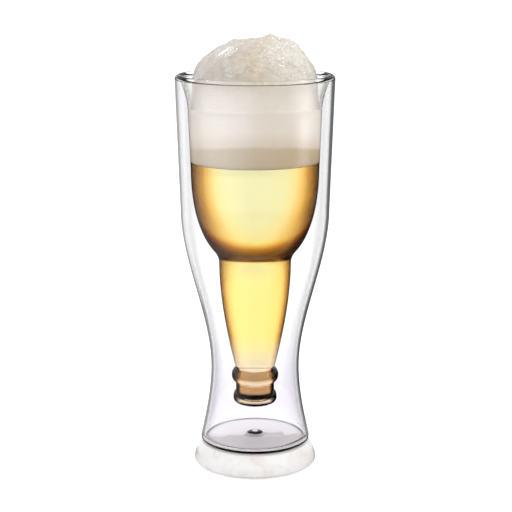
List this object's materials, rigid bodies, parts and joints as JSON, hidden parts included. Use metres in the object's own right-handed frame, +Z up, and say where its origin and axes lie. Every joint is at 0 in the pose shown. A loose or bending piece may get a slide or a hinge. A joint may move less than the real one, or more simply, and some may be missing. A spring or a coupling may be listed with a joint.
{
  "type": "double-wall beer glass",
  "caption": "Tall waisted double-wall drinking glass whose inner vessel is an upside-down bottle, standing on a milky foot and filled with beer under a head of froth.",
  "frame": {"origin": "centre of the foot's underside, where the glass stands", "axes": "+Z up along the glass's axis, +X and +Y across it, with the picture taken from the -Y side"},
  "size_m": [0.0888, 0.0888, 0.2457],
  "materials": {
    "outer_glass": "clear blown borosilicate, fire polished",
    "bottle_glass": "clear blown borosilicate, fire polished",
    "rim_glass": "clear borosilicate, fused and fire polished",
    "plug_seal": "translucent sealing plug",
    "milky_foot": "milky translucent silicone, satin",
    "lager": "clear pale lager",
    "froth": "fine off-white froth"
  },
  "bodies": {
    "root": {"outer_base": "outer_glass", "outer_shell": "outer_glass", "inner_bottle": "bottle_glass", "rim_bead": "rim_glass", "vent_plug": "plug_seal", "foot": "milky_foot", "beer": "lager", "froth_head": "froth"}
  },
  "joints": []
}
